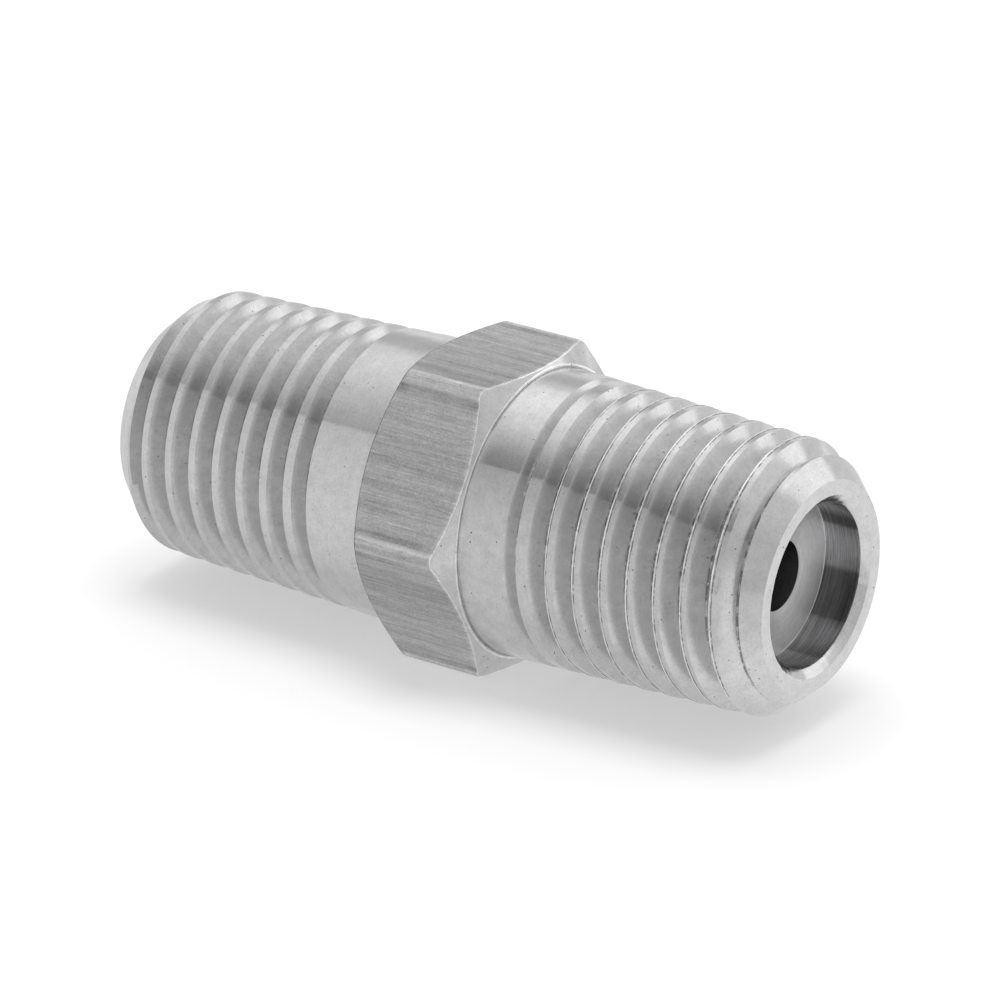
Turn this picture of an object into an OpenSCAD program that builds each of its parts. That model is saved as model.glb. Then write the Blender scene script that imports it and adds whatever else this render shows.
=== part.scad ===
/* [Hexagon] */
// Width across the flats of the hexagon
across_flats = 14.3; // [14:0.1:20]
// How far the corners of the hexagon are turned down
corner_cut = 0.1; // [0.05:0.05:0.6]
// Length of the hexagon along the axis, from shank to shank
hex_length = 5.6; // [4.5:0.1:14]
// Angle of the chamfers at both ends of the hexagon, measured from a plane across the axis
hex_chamfer_angle = 30; // [15:1:40]
// Height of the small shoulder between the shank and those chamfers
neck_step = 0.14; // [0.05:0.01:0.3]

/* [Threaded ends] */
// Length of each threaded end, from the hexagon to its face
end_length = 15.2; // [12:0.1:20]
// Length of plain shank between the hexagon and the place where the groove runs out
plain_length = 2; // [1:0.1:5]
// Diameter over the thread's crests, measured at the face
face_crest_diameter = 12.74; // [11.8:0.01:13.2]
// Taper of the thread, as the length in which its diameter changes by one
taper_length = 16; // [12:1:64]
// Height of the step from the thread's crests up to the plain shank
shank_step = 0.03; // [0.02:0.01:0.3]
// Pitch of the thread
pitch = 1.411; // [1.1:0.001:1.9]
// Angle between the two flanks of the groove
flank_angle = 60; // [55:1:70]
// Width of the flat at the bottom of the groove
root_flat = 0.07; // [0.05:0.01:0.2]
// Width of the flat crest between two turns, at the face
face_crest_flat = 0.3; // [0.25:0.01:0.5]
// Width of the flat crest between two turns, at the shank
shank_crest_flat = 0.48; // [0.25:0.01:0.6]
// Number of turns in which the groove runs out to nothing beside the shank
runout_turns = 2; // [1:0.25:3]
// Angle round the axis at which the groove reaches the face
start_angle = 200; // [0:5:355]

/* [End faces] */
// Outer diameter of the flat face at each end
face_diameter = 10; // [9.4:0.1:11]
// Length of the chamfer between that face and the thread's crests
face_chamfer_length = 1.6; // [0.5:0.1:2.4]

/* [Waterway] */
// Diameter of the hole that runs through the whole part
through_diameter = 3.3; // [1:0.1:7]
// Diameter of the counterbore in one end
counterbore_diameter = 7.8; // [7.1:0.1:8.5]
// Depth of the counterbore
counterbore_depth = 2.25; // [0.8:0.05:10]
// Width of the small chamfer round the mouth of the counterbore and the far end of the hole
mouth_chamfer = 0.37; // [0.1:0.01:0.5]

/* [Hidden] */

metal = [0.72, 0.72, 0.73];
total_length = hex_length + 2 * end_length;
half_length = total_length / 2;
// Length by which a cutting shape runs past the metal
cut_margin = 1;
// Number of steps in a full turn of the plain round surfaces
round_steps = 96;

// Taper of one side, and the radii that follow from it
slope = 1 / (2 * taper_length);
thread_length = end_length - plain_length;
crest_radius = face_crest_diameter / 2;
inner_crest_radius = crest_radius + slope * thread_length;
shank_radius = inner_crest_radius + shank_step;
face_radius = face_diameter / 2;

// The hexagon's corners, and the radius at which its chamfers start
sides = 6;
sharp_radius = across_flats / 2 / cos(180 / sides);
corner_radius = sharp_radius - corner_cut;
neck_radius = shank_radius + neck_step;

// The chamfer of the end face, drawn on past the crests
chamfer_foot = end_length - face_chamfer_length;
outer_radius = shank_radius + cut_margin;

// The groove is a helix of flat steps, this many to a turn, which starts a turn above the face
steps = 48;
first_height = end_length + pitch;
rod_bottom = plain_length - pitch / 2;
turns = ceil((first_height - rod_bottom) / pitch) + 1;
runout_length = runout_turns * pitch;

// Radius of the crests at a height above the hexagon, level beside the shank
function crest_at(z) = crest_radius + slope * (end_length - max(z, plain_length));
// Share of the thread's length that lies between a height and the face
function share_at(z) = min(max((end_length - z) / thread_length, 0), 1);
// Width of the groove where nothing of it is missing
function full_width(z) =
    pitch - face_crest_flat - (shank_crest_flat - face_crest_flat) * share_at(z);
// The tool leaves the metal on an arc, so the groove fades as a quarter circle does
function left_over(z) = 1 - min(max((z - plain_length) / runout_length, 0), 1);
function fade(z) = sqrt(1 - pow(left_over(z), 2));
// Width of the groove with its run-out, and its depth for these flanks
function groove_width(z) = root_flat + (full_width(z) - root_flat) * fade(z);
function groove_depth(z) = (groove_width(z) - root_flat) / 2 / tan(flank_angle / 2);
// One point on the thread, from its angle, height and radius
function at(angle, z, r) = [r * cos(angle), r * sin(angle), z];
// Angle and height of the middle of the groove after a number of steps
function angle_of(k) = start_angle - 360 * k / steps;
function height_of(k) = first_height - pitch * k / steps;
// The four corners of the groove after a number of steps: crest, root, root, crest
function corners(k) =
    let (
        a = angle_of(k),
        z = height_of(k),
        w = groove_width(z) / 2,
        f = root_flat / 2,
        root = crest_at(z) - groove_depth(z),
        upper = z + w,
        lower = z - w
    )
    [at(a, upper, crest_at(upper)), at(a, z + f, root), at(a, z - f, root), at(a, lower, crest_at(lower))];

// Solid rod with the helical groove, running past the face and into the shank
module grooved_rod() {
    last = turns * steps;
    ring = [for (k = [0:last]) each corners(k)];
    ends = [[0, 0, first_height + pitch], [0, 0, height_of(last)]];
    top = len(ring);
    bottom = top + 1;
    strips = [
        for (k = [0:last - 1], j = [0:2])
            each [
                [4 * k + j, 4 * k + j + 1, 4 * k + j + 4],
                [4 * k + j + 1, 4 * k + j + 5, 4 * k + j + 4]
            ]
    ];
    lands = [
        for (k = [0:last - steps - 1])
            let (below = k + steps)
            each [
                [4 * k + 3, 4 * below, 4 * k + 7],
                [4 * below, 4 * below + 4, 4 * k + 7]
            ]
    ];
    cap_top = concat(
        [for (k = [0:steps - 1]) [top, 4 * k, 4 * k + 4]],
        [for (j = [0:2]) [top, j + 1, j]],
        [[top, 4 * steps, 3]]
    );
    foot = last - steps;
    cap_bottom = concat(
        [for (k = [foot:last - 1]) [bottom, 4 * k + 7, 4 * k + 3]],
        [for (j = [0:2]) [bottom, 4 * last + j, 4 * last + j + 1]],
        [[bottom, 4 * foot + 3, 4 * last]]
    );
    polyhedron(points = concat(ring, ends), faces = concat(strips, lands, cap_top, cap_bottom));
}

// Outline that the end face and its chamfer leave of the rod
module end_blank() {
    chamfer_rise = face_chamfer_length / (crest_at(chamfer_foot) - face_radius);
    rotate_extrude($fn = round_steps)
        polygon([
            [0, rod_bottom],
            [outer_radius, rod_bottom],
            [outer_radius, end_length - (outer_radius - face_radius) * chamfer_rise],
            [face_radius, end_length],
            [0, end_length]
        ]);
}

// One threaded end with its plain shank, which starts at the middle of the hexagon
module threaded_end() {
    translate([0, 0, hex_length / 2])
        intersection() {
            grooved_rod();
            end_blank();
        }
    cylinder(h = hex_length / 2 + plain_length, r = shank_radius, $fn = round_steps);
}

// Cone that chamfers the upper end of the hexagon, drawn on past both of its ends
module chamfer_cone() {
    spread = 1 / tan(hex_chamfer_angle);
    cylinder(
        h = hex_length + 2 * cut_margin,
        r1 = neck_radius + (hex_length + cut_margin) * spread,
        r2 = neck_radius - cut_margin * spread,
        center = true,
        $fn = round_steps
    );
}

// The hexagon, lying on a flat, with its corners turned down and both ends chamfered
module hexagon() {
    intersection() {
        rotate([0, 0, 180 / sides])
            cylinder(h = hex_length, r = sharp_radius, center = true, $fn = sides);
        cylinder(h = hex_length + 2 * cut_margin, r = corner_radius, center = true, $fn = round_steps);
        chamfer_cone();
        rotate([180, 0, 0])
            chamfer_cone();
    }
}

// Cone that chamfers the mouth of a hole of this radius in the upper end face
module mouth_cone(radius) {
    translate([0, 0, half_length - mouth_chamfer])
        cylinder(h = 2 * mouth_chamfer, r1 = radius, r2 = radius + 2 * mouth_chamfer, $fn = round_steps);
}

// The hole through the part, the counterbore in its upper end and the mouths of both
module waterway() {
    hole_length = total_length + 2 * cut_margin;
    cylinder(h = hole_length, d = through_diameter, center = true, $fn = round_steps);
    translate([0, 0, half_length - counterbore_depth])
        cylinder(h = counterbore_depth + cut_margin, d = counterbore_diameter, $fn = round_steps);
    mouth_cone(counterbore_diameter / 2);
    rotate([180, 0, 0])
        mouth_cone(through_diameter / 2);
}

// The whole fitting, with its axis along X and the counterbore towards +X
module hex_nipple() {
    color(metal)
        rotate([0, 90, 0])
            difference() {
                union() {
                    hexagon();
                    threaded_end();
                    rotate([180, 0, 0])
                        threaded_end();
                }
                waterway();
            }
}

hex_nipple();
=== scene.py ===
"""Double male hex nipple of turned steel, dressed for a studio picture.

Sizes are in metres and the axis lies along X.
"""

import math
from typing import NamedTuple

import bmesh
import bpy
import numpy as np
from bpy.props import FloatProperty, FloatVectorProperty, IntProperty, PointerProperty
from mathutils import Euler, Matrix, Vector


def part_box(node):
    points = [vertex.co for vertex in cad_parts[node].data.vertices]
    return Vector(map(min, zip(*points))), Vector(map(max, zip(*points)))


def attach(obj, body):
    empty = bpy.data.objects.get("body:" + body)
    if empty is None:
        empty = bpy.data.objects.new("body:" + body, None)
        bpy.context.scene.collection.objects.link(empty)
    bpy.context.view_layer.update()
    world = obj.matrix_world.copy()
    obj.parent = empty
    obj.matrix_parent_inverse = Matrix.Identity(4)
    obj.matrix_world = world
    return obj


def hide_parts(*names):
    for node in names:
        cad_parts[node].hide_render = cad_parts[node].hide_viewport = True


bl_info = {
    "name": "Hex nipple",
    "version": (1, 0, 0),
    "blender": (4, 5, 0),
    "location": "3D View > Sidebar > Hex nipple",
    "description": "Builds a turned pipe nipple with its threads, its metal and a small studio",
    "category": "Object",
}

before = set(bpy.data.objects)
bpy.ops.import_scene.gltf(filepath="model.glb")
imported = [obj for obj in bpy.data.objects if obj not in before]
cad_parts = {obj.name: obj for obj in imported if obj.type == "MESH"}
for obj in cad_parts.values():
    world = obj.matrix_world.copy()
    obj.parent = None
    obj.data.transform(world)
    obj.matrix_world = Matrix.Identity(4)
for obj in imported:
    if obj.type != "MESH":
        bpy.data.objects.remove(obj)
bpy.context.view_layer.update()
LOWEST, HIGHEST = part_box("hex_nipple")
MM = 0.001
SHARP_ANGLE = math.radians(38)
WELD = 0.0008 * MM
FINISHED = "nipple_metal"
SKINS = ("threaded_end_right", "threaded_end_left", "hexagon_skin", "waterway_skin")

# Points across one groove, from the crest nearer the hexagon to the crest nearer the face. Each has
# shares of the half pitch, of the groove's half width and of the root's half flat, then its lip widths
# outwards, its share of the depth and of the lip's height, then how far it is a nick in the edge, a
# dark line of painted shade and a bright line of painted highlight.
GROOVE = (
    ((-1.0, 0.0, 0.0), (0.0, 0.0, 0.0), (0.0, 0.0, 0.0)),
    ((0.0, -1.0, 0.0), (-0.25, 0.0, 0.0), (0.2, 0.0, 0.0)),
    ((0.0, -1.0, 0.0), (0.0, 0.0, 0.0), (1.0, 0.0, 0.0)),
    ((0.0, -0.86, -0.14), (0.0, 0.14, 0.0), (0.3, 0.0, 0.0)),
    ((0.0, -0.65, -0.35), (0.0, 0.35, 0.0), (0.0, 0.0, 0.0)),
    ((0.0, -0.4, -0.6), (0.0, 0.6, 0.0), (0.0, 0.0, 0.0)),
    ((0.0, -0.15, -0.85), (0.0, 0.85, 0.0), (0.0, 0.0, 0.0)),
    ((0.0, -0.03, -0.97), (0.0, 0.97, 0.0), (0.0, 0.5, 0.0)),
    ((0.0, 0.0, -0.6), (0.0, 1.0, 0.0), (0.0, 1.0, 0.0)),
    ((0.0, 0.0, 0.6), (0.0, 1.0, 0.0), (0.0, 1.0, 0.0)),
    ((0.0, 0.06, 0.94), (0.0, 0.94, 0.0), (0.0, 0.5, 0.0)),
    ((0.0, 0.3, 0.7), (0.0, 0.7, 0.0), (0.0, 0.0, 0.0)),
    ((0.0, 0.7, 0.3), (0.0, 0.3, 0.0), (0.0, 0.0, 0.0)),
    ((0.0, 0.98, 0.02), (0.0, 0.03, 0.0), (0.4, 0.4, 0.0)),
    ((0.0, 1.0, 0.0), (0.03, 0.0, 0.3), (0.6, 0.0, 0.8)),
    ((0.0, 1.0, 0.0), (0.2, 0.0, 0.85), (0.5, 0.0, 1.0)),
    ((0.0, 1.0, 0.0), (0.42, 0.0, 1.0), (0.4, 0.0, 0.9)),
    ((0.0, 1.0, 0.0), (0.55, 0.0, 0.6), (0.3, 0.5, 0.0)),
    ((0.0, 1.0, 0.0), (0.66, 0.0, -0.2), (0.2, 1.0, 0.0)),
    ((0.0, 1.0, 0.0), (0.9, 0.0, -0.2), (0.2, 1.0, 0.0)),
    ((0.0, 1.0, 0.0), (1.02, 0.0, 0.0), (0.1, 0.0, 0.0)),
    ((1.0, 0.0, 0.0), (0.0, 0.0, 0.0), (0.0, 0.0, 0.0)),
)


def length(name, description, default, low=0.0, precision=6):
    """A size in metres that a user may change."""
    return FloatProperty(
        name=name, description=description, default=default, min=low, precision=precision, unit="LENGTH"
    )


def colour(name, description, default):
    """A colour that a user may change."""
    return FloatVectorProperty(
        name=name, description=description, default=default, size=3, min=0.0, max=1.0, subtype="COLOR"
    )


class NippleSizes(bpy.types.PropertyGroup):
    """Sizes of the metal."""

    across_flats: length("Across flats", "Width of the hexagon across its flats", HIGHEST[2] - LOWEST[2])
    across_corners: length("Across corners", "Width over the hexagon's corners", HIGHEST[1] - LOWEST[1])
    total_length: length("Total length", "Length from face to face", HIGHEST[0] - LOWEST[0])
    hex_length: length("Hexagon length", "Length of the hexagon between its necks", 5.6 * MM)
    hex_chamfer_angle: FloatProperty(
        name="Hexagon chamfer",
        description="Angle between the hexagon's chamfer and its end",
        default=math.radians(30),
        subtype="ANGLE",
    )
    neck_step: length("Neck step", "Height of the shoulder between shank and chamfer", 0.14 * MM)
    plain_length: length("Plain length", "Length of the plain shank beside the hexagon", 2.0 * MM)
    face_crest_diameter: length("Crests at the face", "Diameter of the crests at the end face", 12.74 * MM)
    taper_length: FloatProperty(
        name="Taper", description="Length in which the diameter grows by one part", default=16.0, min=1.0
    )
    shank_step: length("Shank step", "Height of the shank above the last crest", 0.03 * MM)
    pitch: length("Pitch", "Distance from crest to crest", 1.411 * MM, 0.1 * MM)
    flank_angle: FloatProperty(
        name="Flank angle",
        description="Angle between the flanks",
        default=math.radians(60),
        subtype="ANGLE",
    )
    root_flat: length("Root flat", "Width of the bottom of the groove", 0.07 * MM)
    face_crest_flat: length("Crest at the face", "Width of a crest at the end face", 0.3 * MM)
    shank_crest_flat: length("Crest at the shank", "Width of a crest beside the shank", 0.48 * MM)
    runout_turns: FloatProperty(
        name="Run-out", description="Turns in which the groove fades into the shank", default=2.0, min=0.5
    )
    start_angle: FloatProperty(
        name="Thread start", description="Angle at which the groove reaches the face", default=200.0
    )
    face_diameter: length("Face diameter", "Diameter of the flat end face", 10.0 * MM)
    face_chamfer_length: length("Face chamfer", "Length of the chamfer of the end face", 1.6 * MM)
    through_diameter: length("Through hole", "Diameter of the hole through the part", 3.3 * MM)
    counterbore_diameter: length("Counterbore", "Diameter of the counterbore", 7.8 * MM)
    counterbore_depth: length("Counterbore depth", "Depth of the counterbore", 2.25 * MM)
    mouth_chamfer: length("Mouth chamfer", "Size of the small chamfer at the mouth of each hole", 0.37 * MM)
    steps: IntProperty(name="Steps", description="Steps in a full turn", default=186, min=24)


class NippleWear(bpy.types.PropertyGroup):
    """Small marks that the tools and handling left."""

    lip_width: length("Lip width", "Width of the lip that the tool raised on each crest", 0.135 * MM)
    lip_height: length("Lip height", "Height of that lip", 0.024 * MM)
    start_shift: length("Thread start", "How far the last turn lies beyond its place", 0.18 * MM)
    left_short: length("Left shortfall", "How much sooner the left groove ends", 0.9 * MM)
    left_runout: length("Left run-out", "Length in which the left groove fades", 1.0 * MM)
    nick_depth: length("Nicks", "Depth of the nicks in the crests' edges", 0.02 * MM)
    burr: length("Burrs", "Height of the burrs on the hexagon's edges", 0.02 * MM)
    hex_rounding: length("Hexagon edges", "Rounding of the hexagon's edges", 0.07 * MM)
    neck_groove: length("Neck groove", "Width of the tool mark in the neck", 0.075 * MM)
    dulled: FloatProperty(
        name="Dulled",
        description="Share of their shine that the left end's crests and shank have lost",
        default=0.2,
        min=0.0,
        max=1.0,
        subtype="FACTOR",
    )
    seed: IntProperty(name="Seed", description="Seed of the wear", default=7)


class NippleFinish(bpy.types.PropertyGroup):
    """Colours of the metal."""

    turned: colour("Turned metal", "Colour of the turned surfaces", (0.62, 0.62, 0.625))
    drawn: colour("Drawn flats", "Colour of the hexagon's flats", (0.5, 0.5, 0.505))
    # Lighter than the turned metal: painted light on the counterbore's floor, where the wall keeps light off.
    floor: colour("Counterbore floor", "Colour of the counterbore's floor", (0.68, 0.68, 0.685))
    # Far darker than the turned metal: painted shade for the inside of the counterbore and the hole.
    bored: colour("Bored metal", "Colour of the counterbore's wall", (0.32, 0.32, 0.325))


class NippleStudio(bpy.types.PropertyGroup):
    """Camera, floor and light."""

    camera_place: FloatVectorProperty(
        name="Camera place",
        description="Place of the camera",
        default=(0.165791, -0.240662, 0.120258),
        size=3,
        subtype="TRANSLATION",
        unit="LENGTH",
    )
    camera_turn: FloatVectorProperty(
        name="Camera turn",
        description="Turn of the camera",
        default=tuple(math.radians(a) for a in (67.6166, -0.4898, 34.7028)),
        size=3,
        subtype="EULER",
        unit="ROTATION",
    )
    lens: FloatProperty(name="Lens", description="Focal length in mm on a 36 mm sensor", default=244.90)
    floor_size: length("Floor", "Side of the square floor", 3.0)
    floor_colour: colour("Floor colour", "Colour of the floor", (0.8, 0.8, 0.8))
    floor_glow: FloatProperty(
        name="Floor glow", description="Floor's own share of the light that the camera sees", default=0.46
    )
    floor_mirrored: FloatVectorProperty(
        name="Floor in the metal",
        description="Floor's own light in the metal, under the part and beyond its right end",
        default=(0.62, 0.84),
        size=2,
    )
    light_level: FloatProperty(name="Light", description="Level of the light from all round", default=0.9)
    bands_centre: FloatVectorProperty(
        name="Bands",
        description="Direction about which the bands of light fan out",
        default=(-0.76, 0.38),
        size=2,
    )
    lamp_power: FloatProperty(name="Lamp", description="Power of the soft lamp", default=6.5, unit="POWER")
    lamp_height: length("Lamp height", "Height of the soft lamp above the part's axis", 1.0)
    lamp_size: FloatVectorProperty(
        name="Lamp size", description="Sides of the soft lamp", default=(0.7, 0.5), size=2, unit="LENGTH"
    )


class Wires:
    """Short ways to add nodes to a tree and wire them."""

    def __init__(self, tree):
        self.tree = tree
        self.nodes = tree.nodes

    def put(self, socket, value):
        """Wires a socket to another, or sets its value."""
        if isinstance(value, bpy.types.NodeSocket):
            self.tree.links.new(value, socket)
        elif value is not None:
            socket.default_value = value

    def add(self, kind, values=(), **settings):
        """A node with its settings, and its inputs given in order or by name."""
        node = self.nodes.new(kind)
        for name, value in settings.items():
            setattr(node, name, value)
        pairs = values.items() if isinstance(values, dict) else enumerate(values)
        for name, value in pairs:
            self.put(node.inputs[name], value)
        return node

    def math(self, operation, *values):
        """The result of one operation on numbers."""
        return self.add("ShaderNodeMath", values, operation=operation).outputs[0]

    def plus(self, a, b):
        return self.math("ADD", a, b)

    def minus(self, a, b):
        return self.math("SUBTRACT", a, b)

    def times(self, a, b):
        return self.math("MULTIPLY", a, b)

    def over(self, a, b):
        return self.math("DIVIDE", a, b)

    def step(self, value, low, high, to_low=0.0, to_high=1.0, kind="SMOOTHSTEP"):
        """A value carried from one range to another and held at both ends."""
        node = self.add("ShaderNodeMapRange", (value, low, high, to_low, to_high), interpolation_type=kind)
        return node.outputs[0]

    def window(self, value, rise, full, fall, end):
        """1 from full to fall, with soft borders that start at rise and end at end."""
        return self.times(self.step(value, rise, full), self.step(value, end, fall))

    def mixed(self, a, b, share):
        """One value carried towards another by a share."""
        return self.plus(a, self.times(share, self.minus(b, a)))

    def vector(self, x, y, z):
        return self.add("ShaderNodeCombineXYZ", (x, y, z)).outputs[0]

    def split(self, vector):
        """The three parts of a vector."""
        return self.add("ShaderNodeSeparateXYZ", (vector,)).outputs

    def noise(self, vector, scale=1.0, detail=2.0, roughness=0.5):
        """Smooth noise from 0 to 1."""
        inputs = {"Vector": vector, "Scale": scale, "Detail": detail, "Roughness": roughness}
        return self.add("ShaderNodeTexNoise", inputs).outputs[0]


def settings(context):
    """The sizes, the wear and the finish that a user may change."""
    scene = context.scene
    return scene.nipple_sizes, scene.nipple_wear, scene.nipple_finish


def new_piece(name, mesh):
    """An object with this mesh, at the origin."""
    piece = bpy.data.objects.new(name, mesh)
    bpy.context.scene.collection.objects.link(piece)
    return piece


class Derived(NamedTuple):
    """Measures that follow from the sizes."""

    slope: float
    end_length: float
    hex_half: float
    shank_radius: float
    face_radius: float


def derived(sizes):
    """The measures that the pieces share."""
    slope = 1 / (2 * sizes.taper_length)
    end_length = (sizes.total_length - sizes.hex_length) / 2
    inner_crest = sizes.face_crest_diameter / 2 + slope * (end_length - sizes.plain_length)
    return Derived(
        slope, end_length, sizes.hex_length / 2, inner_crest + sizes.shank_step, sizes.face_diameter / 2
    )


# ---- thread tree


SOCKETS = {int: "NodeSocketInt", float: "NodeSocketFloat", bpy.types.Material: "NodeSocketMaterial"}


def thread_inputs(sizes, wear, material):
    """The named inputs of the thread's tree."""
    d = derived(sizes)
    foot_crest = sizes.face_crest_diameter / 2 + d.slope * sizes.face_chamfer_length
    return {
        "Steps a Turn": sizes.steps,
        "Turns": math.ceil((d.end_length + 1.5 * sizes.pitch) / sizes.pitch) + 1,
        "Pitch": sizes.pitch,
        "Start Angle": math.radians(sizes.start_angle - 90),
        "Foot": d.hex_half,
        "End Length": d.end_length,
        "Plain Length": sizes.plain_length,
        "Crest Radius": sizes.face_crest_diameter / 2,
        "Slope": d.slope,
        "Shank Step": sizes.shank_step,
        "Root Flat": sizes.root_flat,
        "Face Crest Flat": sizes.face_crest_flat,
        "Shank Crest Flat": sizes.shank_crest_flat,
        "Flank Slope": math.tan(sizes.flank_angle / 2),
        "Run-out Start": sizes.plain_length,
        "Run-out Length": sizes.runout_turns * sizes.pitch,
        "Start Shift": wear.start_shift,
        "Face Radius": d.face_radius,
        "Chamfer Rise": (foot_crest - d.face_radius) / sizes.face_chamfer_length,
        "Lip Width": wear.lip_width,
        "Lip Height": wear.lip_height,
        "Nick Depth": wear.nick_depth,
        "Seed": wear.seed,
        "Metal": material,
    }


def thread_tree(inputs):
    """The tree that lays a strip of groove along a helix, fades it out and cuts it by the end chamfer."""
    tree = bpy.data.node_groups.new("Tapered thread", "GeometryNodeTree")
    tree.is_modifier = True
    for name, value in inputs.items():
        tree.interface.new_socket(name=name, in_out="INPUT", socket_type=SOCKETS[type(value)])
    tree.interface.new_socket(name="Geometry", in_out="OUTPUT", socket_type="NodeSocketGeometry")
    w = Wires(tree)
    given = w.add("NodeGroupInput").outputs
    last = len(GROOVE) - 1

    steps = w.times(given["Steps a Turn"], given["Turns"])
    counts = {"Size X": steps, "Size Y": last, "Vertices X": w.plus(steps, 1), "Vertices Y": last + 1}
    grid = w.add("GeometryNodeMeshGrid", counts)
    x, y, _ = w.split(w.add("GeometryNodeInputPosition").outputs[0])
    along = w.math("ROUND", w.plus(x, w.over(steps, 2)))
    across = w.math("ROUND", w.plus(y, last / 2))
    turn = w.over(along, given["Steps a Turn"])

    tables = []
    for column in range(3):
        table = w.add("GeometryNodeIndexSwitch", data_type="VECTOR")
        while len(table.index_switch_items) < len(GROOVE):
            table.index_switch_items.new()
        w.put(table.inputs[0], across)
        for k, point in enumerate(GROOVE):
            table.inputs[k + 1].default_value = point[column]
        tables.append(w.split(table.outputs[0]))
    (half_pitch, half_width, half_root), (outwards, depth_share, lip_share), (nick, dark, bright) = tables

    # Width and depth of the groove, which fades on a quarter circle
    end, plain, pitch, root_flat = (given[n] for n in ("End Length", "Plain Length", "Pitch", "Root Flat"))
    middle = w.minus(w.plus(end, pitch), w.times(pitch, turn))
    share = w.step(middle, end, plain, kind="LINEAR")
    full = w.minus(pitch, w.mixed(given["Face Crest Flat"], given["Shank Crest Flat"], share))
    gone = given["Run-out Start"]
    left = w.step(middle, gone, w.plus(gone, given["Run-out Length"]), 1.0, 0.0, "LINEAR")
    fade = w.math("SQRT", w.minus(1.0, w.times(left, left)))
    width = w.mixed(root_flat, full, fade)
    depth = w.over(w.over(w.minus(width, root_flat), 2.0), given["Flank Slope"])

    # Height of each point above the hexagon. Where the groove is gone, points stay apart by more than the weld.
    lip_reach = w.times(w.times(outwards, given["Lip Width"]), w.times(fade, w.minus(1.0, left)))
    shift = w.plus(
        w.plus(w.times(half_pitch, w.over(pitch, 2)), w.times(half_width, w.over(width, 2))),
        w.plus(w.times(half_root, w.over(root_flat, 2)), lip_reach),
    )
    apart = w.times(w.minus(1.0, w.math("ABSOLUTE", half_pitch)), w.times(w.minus(1.0, fade), 3 * WELD))
    height = w.plus(w.plus(middle, shift), w.times(w.minus(across, last / 2), apart))
    unmoved, moved = (w.minus(end, w.times(pitch, turns)) for turns in (1.75, 1.15))
    height = w.plus(height, w.times(w.step(height, unmoved, moved), given["Start Shift"]))

    # Unevenness of the lip, and nicks in the edge
    mark = w.vector(w.times(turn, 40.0), w.over(across, 9.0), given["Seed"])
    run = w.vector(w.times(turn, 40.0), given["Seed"], 0.0)
    lip = w.times(w.step(w.noise(run, 1.3, 4.0), 0.2, 0.6, 0.35, 1.0), w.step(left, 0.8, 0.3))
    dent = w.step(w.noise(mark, 3.1, 2.0), 0.62, 0.8)
    edge = w.minus(
        w.times(w.times(lip_share, lip), given["Lip Height"]),
        w.times(w.times(nick, w.times(dent, fade)), given["Nick Depth"]),
    )

    # Radius, down the taper, up the step to the shank and cut by the end chamfer
    taper_left = w.minus(end, w.math("MAXIMUM", height, plain))
    crest = w.plus(given["Crest Radius"], w.times(given["Slope"], taper_left))
    near = w.times(pitch, 0.12)
    on_shank = w.step(height, w.plus(plain, near), w.minus(plain, near))
    crest = w.plus(crest, w.times(given["Shank Step"], on_shank))
    uncut = w.plus(w.minus(crest, w.times(depth_share, depth)), edge)
    cone = w.plus(given["Face Radius"], w.times(w.minus(end, height), given["Chamfer Rise"]))
    radius = w.math("MAXIMUM", w.math("MINIMUM", uncut, cone), given["Face Radius"])
    full_taper = w.times(given["Slope"], w.minus(end, plain))
    shank = w.plus(w.plus(given["Crest Radius"], given["Shank Step"]), full_taper)
    radius = w.mixed(radius, shank, w.math("LESS_THAN", height, 0.0))
    height = w.math("MINIMUM", w.math("MAXIMUM", height, 0.0), end)

    angle = w.minus(given["Start Angle"], w.times(turn, math.tau))
    place = w.vector(
        w.plus(given["Foot"], height),
        w.times(radius, w.math("COSINE", angle)),
        w.times(radius, w.math("SINE", angle)),
    )
    raised = w.times(w.math("GREATER_THAN", given["Lip Height"], 0.0), lip)
    kept = w.math("LESS_THAN", uncut, cone)
    root = w.math("GREATER_THAN", depth_share, 0.9)
    stored = grid.outputs[0]
    # The dark line is painted shade along the root and in the crevice behind the lip; the bright line is a
    # painted highlight on the lip's top.
    lines = {
        "painted_shade_line": w.times(w.times(dark, kept), w.times(fade, w.math("MAXIMUM", root, raised))),
        "painted_highlight_line": w.times(w.times(bright, kept), raised),
        "flank": w.times(w.step(w.times(depth_share, depth), 0.0, 0.06 * MM), kept),
    }
    for name, value in lines.items():
        stored = w.add(
            "GeometryNodeStoreNamedAttribute",
            {"Geometry": stored, "Name": name, "Value": value},
            data_type="FLOAT",
            domain="POINT",
        ).outputs[0]
    placed = w.add("GeometryNodeSetPosition", {"Geometry": stored, "Position": place})
    welded = w.add("GeometryNodeMergeByDistance", {"Geometry": placed.outputs[0], "Distance": WELD})
    real = w.add("GeometryNodeRealizeInstances", {"Geometry": welded.outputs[0]})
    metal = w.add("GeometryNodeSetMaterial", {"Geometry": real.outputs[0], "Material": given["Metal"]})
    w.add("NodeGroupOutput", {"Geometry": metal.outputs[0]})
    return tree


def grown(name, inputs, tree):
    """The plain mesh that a tree makes from these inputs."""
    host = new_piece(name, bpy.data.meshes.new(name))
    modifier = host.modifiers.new(name, "NODES")
    modifier.node_group = tree
    for item in tree.interface.items_tree:
        if item.item_type == "SOCKET" and item.in_out == "INPUT":
            modifier[item.identifier] = inputs[item.name]
    depsgraph = bpy.context.evaluated_depsgraph_get()
    mesh = bpy.data.meshes.new_from_object(host.evaluated_get(depsgraph), depsgraph=depsgraph)
    host.modifiers.clear()
    if not mesh.polygons:
        raise RuntimeError("The thread's tree made no faces")
    host.data = mesh
    return host


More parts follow.
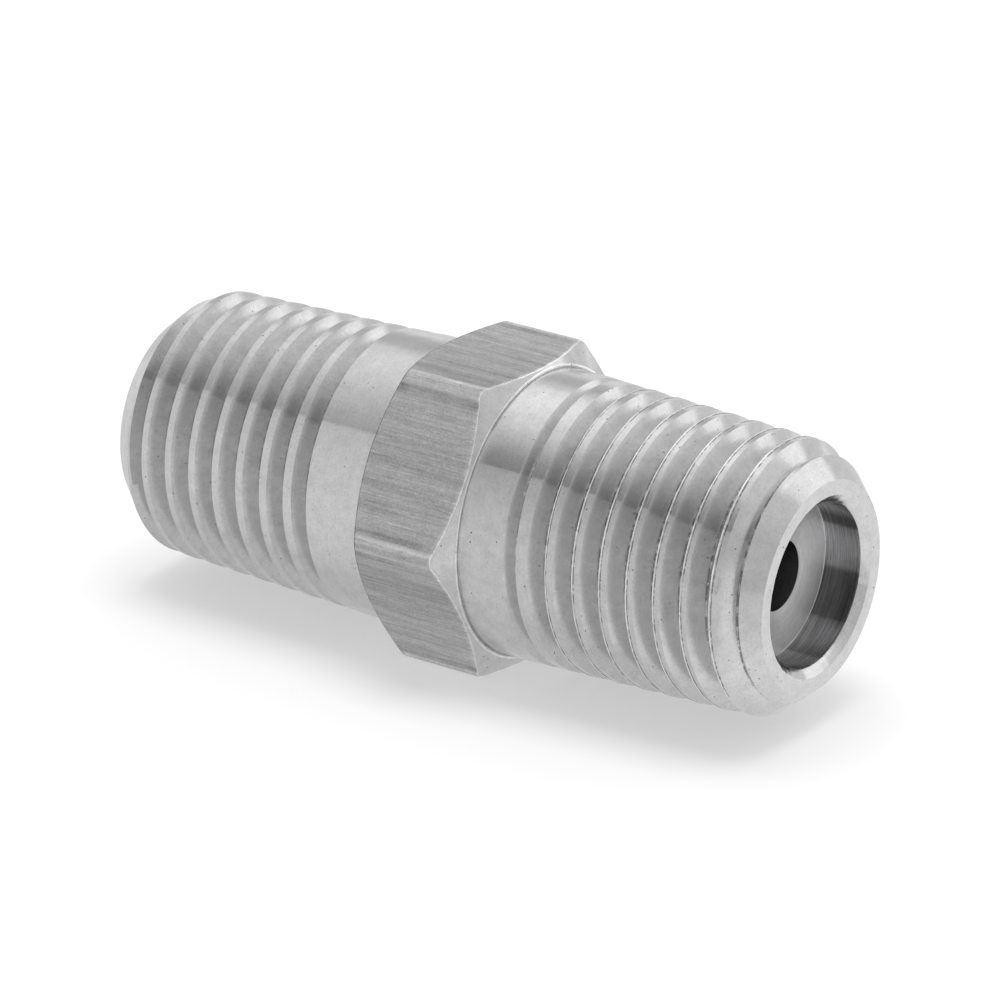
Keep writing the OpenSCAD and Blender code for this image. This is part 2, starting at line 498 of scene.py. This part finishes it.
class MakeThreadedEnds(bpy.types.Operator):
    """Cut the tapered threads on both ends"""

    bl_idname = "hex_nipple.threaded_ends"
    bl_label = "Threaded ends"

    def execute(self, context):
        sizes, wear, finish = settings(context)
        inputs = thread_inputs(sizes, wear, thread_metal("thread_metal", finish, 0.0))
        tree = thread_tree(inputs)
        grown(SKINS[0], inputs, tree)
        inputs |= {
            "Seed": wear.seed + 4,
            "Lip Height": 0.0,
            "Run-out Start": sizes.plain_length + wear.left_short,
            "Run-out Length": wear.left_runout,
            "Start Shift": 0.0,
            "Metal": thread_metal("dulled_metal_painted_light", finish, wear.dulled),
        }
        left = grown(SKINS[1], inputs, tree)
        left.data.transform(Matrix.Rotation(math.pi, 4, "Z"))
        return {"FINISHED"}


# ---- rings of the turned and drawn surfaces


def nearest_turn(phase, steps):
    """The turn of at most half a step that brings a ring's points in line with a ring of this phase."""
    step = math.tau / steps
    return (phase + step / 2) % step - step / 2


def phases(sizes):
    """Turns of the rings that meet the right and the left thread."""
    start = math.radians(sizes.start_angle - 90)
    return nearest_turn(start, sizes.steps), nearest_turn(math.pi - start, sizes.steps)


def skin(name, rings, slots, materials, lines=()):
    """A mesh through rings of points, with a material slot for each band between two, and lines of shade."""
    count = len(rings[0])
    points = np.concatenate(rings)
    faces, used = [], []
    for k, slot in enumerate(slots):
        here, there = k * count, (k + 1) * count
        for i in range(count):
            j = (i + 1) % count
            faces.append((here + i, here + j, there + j, there + i))
            used.append(slot)
    mesh = bpy.data.meshes.new(name)
    mesh.from_pydata(points.tolist(), [], faces)
    for material in materials:
        mesh.materials.append(material)
    mesh.polygons.foreach_set("material_index", used)
    for key, values in lines:
        mesh.attributes.new(key, "FLOAT", "POINT").data.foreach_set("value", np.concatenate(values))
    mesh.update()
    return new_piece(name, mesh)


def ring(steps, x, radius, turn=0.0):
    """Points of a ring about the X axis. Its place and radius are one value, or one for each point."""
    angle = np.arange(steps) * math.tau / steps + turn
    return np.column_stack(np.broadcast_arrays(x, radius * np.cos(angle), radius * np.sin(angle)))


def uneven(steps, cycles, seed, count=9):
    """A smooth uneven value around a ring, from about -1 to 1."""
    rng = np.random.default_rng(seed)
    angle = np.arange(steps) * math.tau / steps
    total = np.zeros(steps)
    for _ in range(count):
        total += np.cos(rng.integers(cycles // 2, cycles) * angle + rng.uniform(0, math.tau))
    return total / math.sqrt(count / 2) / 2


class Row(NamedTuple):
    """A ring of points, the slot of its metal, and how far it is a dark line of painted shade and a bright line
    of painted highlight.
    """

    points: np.ndarray
    slot: int
    dark: float = 0.0
    bright: float = 0.0


class HexOutline:
    """Rings of the hexagon, which is narrowed to its turned corners and chamfered towards its necks."""

    CHAMFER, FLAT = 0, 1

    def __init__(self, sizes):
        self.half, self.steps = sizes.hex_length / 2, sizes.steps
        self.shank = derived(sizes).shank_radius
        self.step = sizes.neck_step
        self.neck = self.shank + self.step
        self.slope = math.tan(sizes.hex_chamfer_angle)
        self.cosine = math.cos(sizes.hex_chamfer_angle)
        even = np.arange(self.steps) * math.tau / self.steps
        side = math.pi / 3
        share = ((even / side) % 1.0) * 2 - 1
        crowded = 1.35 * share - 0.35 * share**3
        self.angle = even + (crowded - share) * side / 2
        flat = sizes.across_flats / 2 / np.cos(crowded * side / 2)
        corner, soft = sizes.across_corners / 2, 0.05 * MM
        self.gap = np.clip((soft - np.abs(corner - flat)) / soft, 0, None)
        self.outer = np.minimum(flat, corner) - soft * self.gap**2 / 4
        self.edge = self.cone(self.outer)

    def around(self, x, radius):
        """Points of a ring that crowd towards the corners."""
        return np.column_stack(
            np.broadcast_arrays(x, radius * np.cos(self.angle), radius * np.sin(self.angle))
        )

    def cone(self, radius):
        """Where the chamfer has this radius."""
        return self.half - (radius - self.neck) * self.slope

    def neck_rows(self, sign, turn, groove):
        """The tool mark in the neck, with a dark line of painted shade in it, and the lip beside it, with a
        bright line of painted highlight.
        """
        half, shank, neck = self.half, self.shank, self.neck
        return [
            Row(ring(self.steps, sign * half, shank, turn), self.CHAMFER),
            Row(self.around(sign * (half - 0.5 * groove), shank + 0.1 * self.step), self.CHAMFER, 0.5),
            Row(self.around(sign * (half - 0.5 * groove), shank + 0.35 * self.step), self.CHAMFER, 0.5),
            Row(self.around(sign * (half - 0.15 * groove), shank + 0.6 * self.step), self.CHAMFER, 0.0, 0.6),
            Row(self.around(sign * half, neck - 0.03 * MM), self.CHAMFER, 0.0, 1.0),
            Row(self.around(sign * (half - 0.004 * MM), neck + 0.035 * MM), self.CHAMFER, 0.0, 1.0),
        ]

    def chamfer_rows(self, sign, soft_edge, burr, rim):
        """The chamfer and the rounding at its rim, which is a dark line of painted shade or a bright line of
        painted highlight.
        """
        top, start = self.outer - soft_edge * self.cosine, self.neck + 0.075 * MM
        rows = []
        for part in (0.0, 0.12, 0.5, 0.88, 1.0):
            radius = start + (top - start) * part
            rows.append(Row(self.around(sign * self.cone(radius), radius), self.CHAMFER))
        for part, inward in ((0.33, 0.3), (0.67, 0.08)):
            radius = top + (self.outer - top) * part + soft_edge * 0.12 + burr * 0.5
            x = self.edge + soft_edge * (inward - 0.22) - burr * 0.3
            rows.append(Row(self.around(sign * x, radius), self.FLAT, *rim))
        faint = [0.3 * line for line in rim]
        rows.append(Row(self.around(sign * (self.edge - soft_edge), self.outer), self.FLAT, *faint))
        return rows

    def flat_rows(self, rounding):
        """The flats, with a painted highlight line along their corners."""
        reach, painted_corner_highlight = self.edge - rounding * 1.5, np.clip(1.4 * self.gap, 0, 1)
        return [
            Row(self.around(reach * (1 - 2 * part), self.outer), self.FLAT, 0.0, painted_corner_highlight)
            for part in (0.03, 0.2, 0.4, 0.6, 0.8, 0.97)
        ]


class MakeHexagon(bpy.types.Operator):
    """Mill the hexagon with its turned chamfers and necks"""

    bl_idname = "hex_nipple.hexagon"
    bl_label = "Hexagon"

    def execute(self, context):
        sizes, wear, finish = settings(context)
        outline, steps = HexOutline(sizes), sizes.steps
        right, left = phases(sizes)
        sides = []
        # The right rim is a bright line of painted highlight, the left rim a dark line of painted shade.
        for sign, turn, seed, rim in ((1, right, 3, (0.0, 1.0)), (-1, left, 11, (1.0, 0.0))):
            soft_edge = wear.hex_rounding * (1 + 0.35 * uneven(steps, 60, wear.seed + seed))
            burr = wear.burr * np.clip(uneven(steps, 40, wear.seed + seed + 1), 0, None)
            rows = outline.neck_rows(sign, turn, wear.neck_groove)
            sides.append(rows + outline.chamfer_rows(sign, soft_edge, burr, rim))
        rows = sides[0] + outline.flat_rows(wear.hex_rounding) + sides[1][::-1]
        # A band between two metals belongs to the chamfer.
        slots = [min(here.slot, beyond.slot) for here, beyond in zip(rows, rows[1:])]
        materials = (plain_turned("chamfer_metal", finish), drawn_metal(finish, sizes.across_flats / 2))
        lines = [
            ("painted_shade_line", [np.broadcast_to(row.dark, steps) for row in rows]),
            ("painted_highlight_line", [np.broadcast_to(row.bright, steps) for row in rows]),
        ]
        skin(SKINS[2], [row.points for row in rows], slots, materials, lines)
        return {"FINISHED"}


class MakeWaterway(bpy.types.Operator):
    """Face both ends and bore the hole and the counterbore"""

    bl_idname = "hex_nipple.waterway"
    bl_label = "End faces and bore"

    def execute(self, context):
        sizes, wear, finish = settings(context)
        steps, half = sizes.steps, sizes.total_length / 2
        face, hole = sizes.face_diameter / 2, sizes.through_diameter / 2
        bore, floor = sizes.counterbore_diameter / 2, half - sizes.counterbore_depth
        mouth, fine = sizes.mouth_chamfer, 0.02 * MM
        FACE, MOUTH, WALL, FLOOR, HOLE = range(5)
        burr = fine * 0.5 * uneven(steps, 50, wear.seed + 20)
        right, left = phases(sizes)
        rows = [
            (half, face, FACE),
            (half, face - 0.04 * MM, FACE),
            (half, (face + bore + mouth) / 2, FACE),
            (half, bore + mouth + 2.5 * fine, FACE),
            (half - 0.2 * fine, bore + mouth + fine + burr, FACE),
            (half - fine, bore + mouth + burr, MOUTH),
            (half - 0.5 * mouth, bore + mouth / 2, MOUTH),
            (half - mouth + fine, bore + fine + burr, MOUTH),
            (half - mouth - fine, bore + burr * 0.5, WALL),
            (half - mouth - 5 * fine, bore, WALL),
        ]
        depth = sizes.counterbore_depth - mouth
        for part in (0.2, 0.4, 0.6, 0.8, 0.94):
            rows.append((half - mouth - depth * part, bore, WALL))
        rows += [
            (floor + fine, bore, WALL),
            (floor, bore - fine, FLOOR),
            (floor, bore - 4 * fine, FLOOR),
            (floor, bore * 0.85, FLOOR),
            (floor, bore * 0.65, FLOOR),
            (floor, hole + 6 * fine, FLOOR),
            (floor, hole + fine, FLOOR),
            (floor - 0.8 * fine, hole + 0.2 * fine, HOLE),
            (floor - 3 * fine, hole, HOLE),
        ]
        for part in np.linspace(0.06, 0.97, 10):
            rows.append((floor + (-half + mouth - floor) * part, hole, HOLE))
        rows += [
            (-half + mouth, hole, HOLE),
            (-half + fine, hole + mouth - fine, HOLE),
            (-half, hole + mouth + fine, FACE),
            (-half, hole + mouth + 6 * fine, FACE),
            (-half, (face + hole) / 2, FACE),
            (-half, face - 0.04 * MM, FACE),
            (-half, face, FACE),
        ]
        turns = np.linspace(right, left, len(rows))
        rings = [ring(steps, x, radius, turn) for (x, radius, _), turn in zip(rows, turns)]
        materials = (
            plain_turned("face_metal", finish),
            plain_turned("mouth_metal", finish),
            bored_metal(finish),
            floor_metal(finish),
            hole_metal(finish),
        )
        skin(SKINS[3], rings, [row[2] for row in rows[1:]], materials)
        return {"FINISHED"}


class FinishMetal(bpy.types.Operator):
    """Join the surfaces to one closed piece and stand it for the packed solid"""

    bl_idname = "hex_nipple.finish_metal"
    bl_label = "Join to one piece"

    def execute(self, context):
        parts = [bpy.data.objects[name] for name in SKINS]
        with context.temp_override(
            active_object=parts[0], object=parts[0], selected_objects=parts, selected_editable_objects=parts
        ):
            bpy.ops.object.join()
        piece = parts[0]
        piece.name = piece.data.name = FINISHED
        mesh = bmesh.new()
        mesh.from_mesh(piece.data)
        bmesh.ops.remove_doubles(mesh, verts=mesh.verts, dist=WELD)
        bmesh.ops.dissolve_degenerate(mesh, edges=mesh.edges, dist=WELD / 4)
        bmesh.ops.recalc_face_normals(mesh, faces=mesh.faces)
        loose = [e for e in mesh.edges if len(e.link_faces) != 2]
        for face in mesh.faces:
            face.smooth = True
        for e in mesh.edges:
            e.smooth = len(e.link_faces) != 2 or e.calc_face_angle(0.0) < SHARP_ANGLE
        volume = mesh.calc_volume(signed=True)
        mesh.to_mesh(piece.data)
        if loose or volume <= 0:
            raise RuntimeError(f"The metal isn't closed: {len(loose)} loose edges, volume {volume}")
        mesh.free()
        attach(piece, "root")
        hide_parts("hex_nipple")
        return {"FINISHED"}


# ---- metals


# Painted light and shade on the hexagon's flats, by the angle about the axis in degrees from the front.
FLAT_PAINTED_LIGHT = (
    (-122, 1.0),
    (-108, 0.98),
    (-96, 0.88),
    (-76, 0.87),
    (-68, 0.8),
    (-61, 0.82),
    (-60, 0.95),
    (-55, 1.0),
    (-51, 1.2),
    (-45, 1.14),
    (-39, 1.07),
    (-15, 1.1),
    (-6, 1.14),
    (-1, 1.0),
    (1, 0.88),
    (6, 1.0),
    (12, 0.84),
    (18, 0.8),
    (24, 0.9),
    (32, 1.04),
    (60, 1.0),
)
# Painted light and shade on the left end's dulled crests and shank, by the same angle.
LEFT_END_PAINTED_LIGHT = (
    (-140, 1.0),
    (-96, 0.9),
    (-84, 0.7),
    (-76, 0.8),
    (-54, 0.86),
    (-46, 1.02),
    (-41, 1.1),
    (-30, 1.09),
    (-15, 1.04),
    (0, 1.07),
    (12, 1.04),
    (24, 0.91),
    (40, 0.95),
    (80, 1.0),
)
# Painted light and shade on the counterbore's wall, by the angle about the axis from the back.
WALL_PAINTED_LIGHT = (
    (-180, 1.0),
    (-100, 2.0),
    (-82, 1.6),
    (-79, 0.8),
    (-70, 0.9),
    (-52, 1.1),
    (-47, 0.9),
    (-45, 0.5),
    (-12, 0.5),
    (-9, 1.15),
    (12, 1.5),
    (21, 1.35),
    (24, 0.6),
    (31, 0.65),
    (35, 1.3),
    (41, 2.6),
    (62, 3.0),
    (100, 1.5),
    (180, 1.0),
)



def banded(w, angle, bands):
    """The level at an angle, from pairs of an angle in degrees and a level."""
    low, high, top = bands[0][0], bands[-1][0], max(level for _, level in bands)
    place = w.step(angle, math.radians(low), math.radians(high), kind="LINEAR")
    ramp = w.add("ShaderNodeValToRGB", (place,))
    stops = ramp.color_ramp.elements
    while len(stops) < len(bands):
        stops.new(0.5)
    for stop, (degrees, level) in zip(stops, bands):
        stop.position = (degrees - low) / (high - low)
        stop.color = (level / top, level / top, level / top, 1.0)
    return w.times(w.add("ShaderNodeRGBToBW", (ramp.outputs[0],)).outputs[0], top)


def shaded(w, base, factor):
    """A colour made lighter or darker by a factor."""
    mix = w.add("ShaderNodeVectorMath", {0: tuple(base), "Scale": factor}, operation="SCALE")
    return mix.outputs[0]


class Metal(Wires):
    """A metal that is drawn by the place on the piece: its shade, its relief, and a gloss that is stretched
    across a direction."""

    def __init__(self, name, base):
        self.material = bpy.data.materials.new(name)
        self.material.use_nodes = True
        super().__init__(self.material.node_tree)
        self.nodes.clear()
        self.shader = self.add("ShaderNodeBsdfPrincipled", {"Metallic": 1.0})
        self.add("ShaderNodeOutputMaterial", (self.shader.outputs[0],))
        self.place = self.add("ShaderNodeTexCoord").outputs["Object"]
        self.x, self.y, self.z = self.split(self.place)
        self.base = base
        self.shade = self.roughness = self.height = self.grain_along = self.stretch = None

    def stretched(self, scale_x, scale, detail, roughness):
        """Noise with one scale along the axis and another across it."""
        x, y, z = self.times(self.x, scale_x), self.times(self.y, scale), self.times(self.z, scale)
        return self.noise(self.vector(x, y, z), 1.0, detail, roughness)

    def marked(self, noise, contrast):
        """Makes the shade uneven by a noise."""
        self.shade = self.plus(self.shade, self.times(self.minus(noise, 0.5), contrast))

    def darkened(self, mark, share):
        """Takes a share of the shade away where there is a mark. A share below zero adds it."""
        self.shade = self.times(self.shade, self.minus(1.0, self.times(mark, share)))

    def pits(self, place, size, share):
        """1 in small scattered pits of about this size, and 0 elsewhere."""
        inputs = {"Vector": place, "Scale": 1 / (size * 4), "Randomness": 1.0}
        cells = self.add("ShaderNodeTexVoronoi", inputs)
        chosen = self.split(cells.outputs["Color"])[0]
        reach = self.step(chosen, 1 - share, 1.0, 0.0, 0.3, "LINEAR")
        return self.step(cells.outputs["Distance"], reach, self.times(reach, 0.5))

    def attribute(self, name):
        """A value that the mesh holds for each point."""
        return self.add("ShaderNodeAttribute", attribute_name=name).outputs["Fac"]

    def lined(self, solid):
        """Adds the dark lines of painted shade and the bright lines of painted highlight of the mesh, which
        noise breaks up but leaves at no less than this share.
        """
        dark, bright = self.attribute("painted_shade_line"), self.attribute("painted_highlight_line")
        dashes = self.step(self.noise(self.place, 2600.0, 3.0, 0.7), 0.4, 0.55, solid, 1.0)
        self.darkened(self.times(self.step(dark, 0.25, 0.8), dashes), 0.64)
        small, large = self.noise(self.place, 1900.0, 3.0, 0.7), self.noise(self.place, 300.0, 1.0, 0.5)
        painted_highlight_share = self.plus(self.times(small, 0.6), self.times(large, 0.4))
        self.darkened(self.times(bright, self.step(painted_highlight_share, 0.42, 0.56, solid, 1.0)), -0.6)

    def from_front(self):
        """The angle about the axis from the front, which is less than zero above it."""
        return self.math("ARCTAN2", self.times(self.z, -1.0), self.times(self.y, -1.0))

    def finished(self):
        """The material, with everything wired to its shader."""
        inputs = self.shader.inputs
        self.put(inputs["Base Color"], shaded(self, self.base, self.shade))
        self.put(inputs["Roughness"], self.roughness)
        self.put(inputs["Anisotropic"], self.stretch)
        self.put(inputs["Anisotropic Rotation"], 0.25)
        self.put(inputs["Tangent"], self.grain_along)
        bump = self.add("ShaderNodeBump", {"Strength": 1.0, "Distance": 1.0, "Height": self.height})
        self.put(inputs["Normal"], bump.outputs[0])
        return self.material


class Cut(NamedTuple):
    """What a tool leaves on turned metal: width, contrast and depth of its rings, then roughness, stretch of
    the gloss, and share of wear."""

    width: float
    contrast: float
    depth: float
    roughness: float = 0.15
    stretch: float = 1.0
    wear: float = 1.0


PLAIN_CUT = Cut(0.06 * MM, 0.22, 0.0006 * MM)
THREAD_CUT = Cut(0.06 * MM, 0.2, 0.0006 * MM)
WALL_CUT = Cut(0.1 * MM, 2.4, 0.003 * MM, 0.22, 1.0, 0.6)
FLOOR_CUT = Cut(0.12 * MM, 0.5, 0.0012 * MM, 0.42, 0.9)
HOLE_CUT = Cut(0.12 * MM, 0.5, 0.002 * MM, 0.3, 0.8, 0.6)


def turned_metal(name, base, cut):
    """Metal with the fine rings that a turning tool leaves, soft along the axis and clear around it."""
    m = Metal(name, base)
    radius = m.math("SQRT", m.plus(m.times(m.y, m.y), m.times(m.z, m.z)))
    across = m.over(m.minus(m.x, m.times(radius, 1.6)), cut.width)
    rings = m.noise(m.vector(across, m.times(m.y, 260.0), m.times(m.z, 260.0)), 1.0, 4.0, 0.7)
    cloud = m.noise(m.place, 1500.0, 5.0, 0.7)
    spots = m.pits(m.place, 0.05 * MM, 0.1 * cut.wear)
    chips = m.pits(m.vector(m.plus(m.x, 0.013), m.y, m.z), 0.03 * MM, 0.3 * cut.wear)
    m.shade = m.step(cloud, 0.3, 0.7, 1 - 0.08 * cut.wear, 1 + 0.08 * cut.wear, "LINEAR")
    m.marked(rings, cut.contrast)
    m.marked(m.noise(m.place, 9000.0, 3.0, 0.7), 0.36 * cut.wear)
    m.darkened(m.math("MAXIMUM", spots, m.times(chips, 0.6)), 0.62)
    rough = m.step(cloud, 0.3, 0.7, cut.roughness + 0.02, cut.roughness - 0.02, "LINEAR")
    m.roughness = m.plus(rough, m.times(spots, 0.2))
    relief = m.plus(m.times(rings, cut.depth), m.times(cloud, 0.0012 * MM * cut.wear))
    m.height = m.minus(relief, m.times(spots, 0.004 * MM))
    m.grain_along, m.stretch = m.vector(0.0, m.times(m.z, -1.0), m.y), cut.stretch
    return m


def plain_turned(name, finish):
    """The turned metal of the faces and chamfers."""
    m = turned_metal(name, finish.turned, PLAIN_CUT)
    m.lined(0.6)
    return m.finished()


def thread_metal(name, finish, dulled):
    """The turned metal of a thread, with painted shade along the root and a painted highlight on the lip of the
    crests. Crests and shank have lost a share of their shine; where they are dulled they also carry painted
    light and shade by the angle about the axis."""
    m = turned_metal(name, finish.turned, THREAD_CUT)
    if dulled:
        outer = m.minus(1.0, m.attribute("flank"))
        m.put(m.shader.inputs["Metallic"], m.minus(1.0, m.times(outer, dulled)))
        # Painted light and shade on the crests and shank by the angle about the axis.
        left_painted_light = m.minus(banded(m, m.from_front(), LEFT_END_PAINTED_LIGHT), 1.0)
        m.shade = m.times(m.shade, m.plus(1.0, m.times(outer, left_painted_light)))
    m.lined(0.15)
    return m.finished()


def drawn_metal(finish, apothem):
    """The hexagon's flats, with the streaks and scratches that drawing the bar leaves along it, a painted
    highlight along the corners with a painted shade band just inside it, and painted light and shade by each
    flat's angle.
    """
    m = Metal("drawn_metal", finish.drawn)
    streak = m.stretched(240.0, 9000.0, 5.0, 0.75)
    scratch = m.stretched(700.0, 15000.0, 2.0, 0.5)
    cloud = m.noise(m.place, 1300.0, 5.0, 0.7)
    spots = m.pits(m.place, 0.045 * MM, 0.14)
    past = m.minus(m.plus(m.times(m.y, m.y), m.times(m.z, m.z)), apothem**2)
    from_middle = m.math("SQRT", m.math("MAXIMUM", past, 0.0))
    painted_highlight_share = m.window(from_middle, 0.5 * apothem, 0.515 * apothem, 0.53 * apothem, 0.545 * apothem)
    painted_shade_band = m.window(from_middle, 0.44 * apothem, 0.47 * apothem, 0.5 * apothem, 0.51 * apothem)
    patches = m.step(m.noise(m.place, 420.0, 2.0, 0.5), 0.4, 0.6)
    m.shade = m.step(streak, 0.3, 0.7, 0.83, 1.17, "LINEAR")
    m.marked(m.stretched(90.0, 2200.0, 3.0, 0.6), 0.7)
    # A painted highlight along the corners and, in patches, a painted shade band just inside it.
    m.shade = m.plus(m.shade, m.times(painted_highlight_share, 0.2))
    m.shade = m.minus(m.shade, m.times(m.times(painted_shade_band, patches), 0.22))
    m.marked(cloud, 0.36)
    m.marked(m.noise(m.place, 11000.0, 2.0, 0.5), 0.7)
    m.darkened(m.step(scratch, 0.64, 0.72), 0.3)
    m.darkened(m.step(scratch, 0.36, 0.28), -0.3)
    # Painted light and shade on each flat by its angle about the axis.
    m.shade = m.times(m.shade, banded(m, m.from_front(), FLAT_PAINTED_LIGHT))
    m.darkened(spots, 0.5)
    m.lined(0.6)
    m.roughness = m.step(streak, 0.3, 0.7, 0.5, 0.36, "LINEAR")
    relief = m.plus(m.times(streak, 0.002 * MM), m.times(cloud, 0.002 * MM))
    m.height = m.minus(relief, m.times(spots, 0.004 * MM))
    m.grain_along, m.stretch = m.vector(1.0, 0.0, 0.0), 0.6
    return m.finished()


def bored_metal(finish):
    """The counterbore's wall, drawn out in streaks around it, in the dark bored colour that paints the shade in
    the bore, with bands of painted light and shade by the angle about the axis.
    """
    m = turned_metal("bored_metal", finish.bored, WALL_CUT)
    wall_painted_light = banded(m, m.math("ARCTAN2", m.z, m.y), WALL_PAINTED_LIGHT)
    m.shade = m.times(m.math("MAXIMUM", m.shade, 0.12), wall_painted_light)
    return m.finished()


def floor_metal(finish):
    """The counterbore's floor, with the rings of a coarser cut, in a colour set lighter than the turned metal
    as painted light where the wall keeps light off.
    """
    return turned_metal("floor_metal", finish.floor, FLOOR_CUT).finished()


def hole_metal(finish):
    """The wall of the drilled hole, in the dark bored colour that paints the shade inside it."""
    return turned_metal("hole_metal", finish.bored, HOLE_CUT).finished()


# ---- studio


def floor_material(studio):
    """A pale floor that shows white to the camera and in the metal, and keeps the shadow."""
    material = bpy.data.materials.new("pale_floor")
    material.use_nodes = True
    w = Wires(material.node_tree)
    w.nodes.clear()
    path = w.add("ShaderNodeLightPath")
    camera, glossy = path.outputs["Is Camera Ray"], path.outputs["Is Glossy Ray"]
    mirrored = w.math("MAXIMUM", glossy, path.outputs["Is Transmission Ray"])
    lit = w.minus(w.minus(1.0, w.times(camera, studio.floor_glow)), w.times(mirrored, 0.85))
    diffuse = w.add("ShaderNodeBsdfDiffuse", {"Color": shaded(w, studio.floor_colour, lit)})
    x, y, _ = w.split(w.add("ShaderNodeTexCoord").outputs["Object"])
    under, right = studio.floor_mirrored
    beyond = w.times(w.step(x, 12 * MM, 20 * MM), w.step(y, -14 * MM, -5 * MM))
    own = w.plus(under, w.times(beyond, right - under))
    level = w.plus(w.times(camera, studio.floor_glow), w.times(mirrored, own))
    glow = w.add("ShaderNodeEmission", {"Color": (1.0, 1.0, 1.0, 1.0), "Strength": level})
    both = w.add("ShaderNodeAddShader", (diffuse.outputs[0], glow.outputs[0]))
    w.add("ShaderNodeOutputMaterial", (both.outputs[0],))
    return material


# Brightness of the studio by the angle of its bands, in degrees from the back over the top to the front.
STUDIO_LIGHT = (
    (62, 1.0),
    (80.7, 0.98),
    (86, 0.7),
    (91, 0.66),
    (96, 0.92),
    (99.7, 1.24),
    (106.7, 1.38),
    (113.7, 1.3),
    (123.7, 1.0),
    (129.7, 0.72),
    (135.7, 0.44),
    (141.4, 0.31),
    (141.7, 0.58),
    (153.7, 0.73),
    (161.7, 0.83),
    (176.7, 0.9),
)
# The same for the light beyond the right end, which the end's chamfers mirror.
SIDE_LIGHT = (
    (62, 0.9),
    (80, 0.94),
    (108, 0.94),
    (118, 0.88),
    (130, 0.8),
    (139, 0.72),
    (148, 0.74),
    (158, 0.71),
    (165, 0.7),
    (172, 0.78),
    (180, 0.86),
)


def light_studio(studio):
    """Bands of light with a dark gap over the camera and an even pale front, and white for the camera."""
    world = bpy.data.worlds.new("studio")
    bpy.context.scene.world = world
    world.use_nodes = True
    w = Wires(world.node_tree)
    w.nodes.clear()
    x, y, z = w.split(w.add("ShaderNodeTexCoord").outputs["Generated"])
    centre_y, centre_z = studio.bands_centre
    angle = w.math("ARCTAN2", w.plus(z, centre_z), w.plus(y, centre_y))
    high_lamp = w.window(angle, *(math.radians(a) for a in (72, 79, 108, 116)))
    high_lamp = w.times(w.times(high_lamp, w.step(x, 0.62, 0.54)), w.step(x, 0.0, 0.25, 0.3, 0.5))
    side_level = w.plus(banded(w, angle, SIDE_LIGHT), high_lamp)
    level = banded(w, angle, STUDIO_LIGHT)
    for side, light in ((w.step(x, -0.38, -0.15), side_level), (w.step(x, -0.75, -0.95), 1.3)):
        level = w.mixed(level, light, side)
    path = w.add("ShaderNodeLightPath")
    level = w.mixed(w.times(level, studio.light_level), 1.0, path.outputs["Is Camera Ray"])
    glow = w.add("ShaderNodeBackground", {"Color": (1.0, 1.0, 1.0, 1.0), "Strength": level})
    w.add("ShaderNodeOutputWorld", (glow.outputs[0],))


class SetStage(bpy.types.Operator):
    """Lay the floor, set the soft light and place the camera"""

    bl_idname = "hex_nipple.stage"
    bl_label = "Studio"

    def execute(self, context):
        scene, studio = context.scene, context.scene.nipple_studio
        scene.view_settings.view_transform = "Standard"
        side, low = studio.floor_size / 2, LOWEST[2]
        mesh = bpy.data.meshes.new("studio_floor")
        corners = [(-side, -side, low), (side, -side, low), (side, side, low), (-side, side, low)]
        mesh.from_pydata(corners, [], [(0, 1, 2, 3)])
        mesh.materials.append(floor_material(studio))
        new_piece("studio_floor", mesh)
        light_studio(studio)

        lamp = bpy.data.lights.new("soft_lamp", "AREA")
        lamp.shape, lamp.energy = "RECTANGLE", studio.lamp_power
        lamp.size, lamp.size_y = studio.lamp_size
        place = bpy.data.objects.new("soft_lamp", lamp)
        place.location = (0.0, 0.0, studio.lamp_height)
        place.visible_glossy = False
        place.visible_camera = False
        scene.collection.objects.link(place)

        camera = bpy.data.cameras.new("camera")
        camera.lens, camera.sensor_width = studio.lens, 36.0
        camera.clip_start, camera.clip_end = 0.01, 20.0
        stand = bpy.data.objects.new("camera", camera)
        stand.location = studio.camera_place
        stand.rotation_euler = Euler(studio.camera_turn)
        scene.collection.objects.link(stand)
        scene.camera = stand
        return {"FINISHED"}


OPERATORS = (MakeThreadedEnds, MakeHexagon, MakeWaterway, FinishMetal, SetStage)
GROUPS = {
    "nipple_sizes": NippleSizes,
    "nipple_wear": NippleWear,
    "nipple_finish": NippleFinish,
    "nipple_studio": NippleStudio,
}


class NipplePanel(bpy.types.Panel):
    """Sizes, finish and steps of the nipple"""

    bl_idname = "VIEW3D_PT_hex_nipple"
    bl_label = "Hex nipple"
    bl_space_type = "VIEW_3D"
    bl_region_type = "UI"
    bl_category = "Hex nipple"

    def draw(self, context):
        for name, group in GROUPS.items():
            box = self.layout.box()
            box.label(text=group.__doc__)
            for field in group.__annotations__:
                box.prop(getattr(context.scene, name), field)
        for operator in OPERATORS:
            self.layout.operator(operator.bl_idname)


def register():
    """Adds the classes and the settings."""
    for kind in (*GROUPS.values(), *OPERATORS, NipplePanel):
        bpy.utils.register_class(kind)
    for name, group in GROUPS.items():
        setattr(bpy.types.Scene, name, PointerProperty(type=group))


def unregister():
    """Takes them away again."""
    for name in GROUPS:
        delattr(bpy.types.Scene, name)
    for kind in (NipplePanel, *reversed(OPERATORS), *reversed(GROUPS.values())):
        bpy.utils.unregister_class(kind)


def main():
    """Builds the piece and the studio."""
    register()
    bpy.ops.hex_nipple.threaded_ends()
    bpy.ops.hex_nipple.hexagon()
    bpy.ops.hex_nipple.waterway()
    bpy.ops.hex_nipple.finish_metal()
    bpy.ops.hex_nipple.stage()


if __name__ == "__main__":
    main()
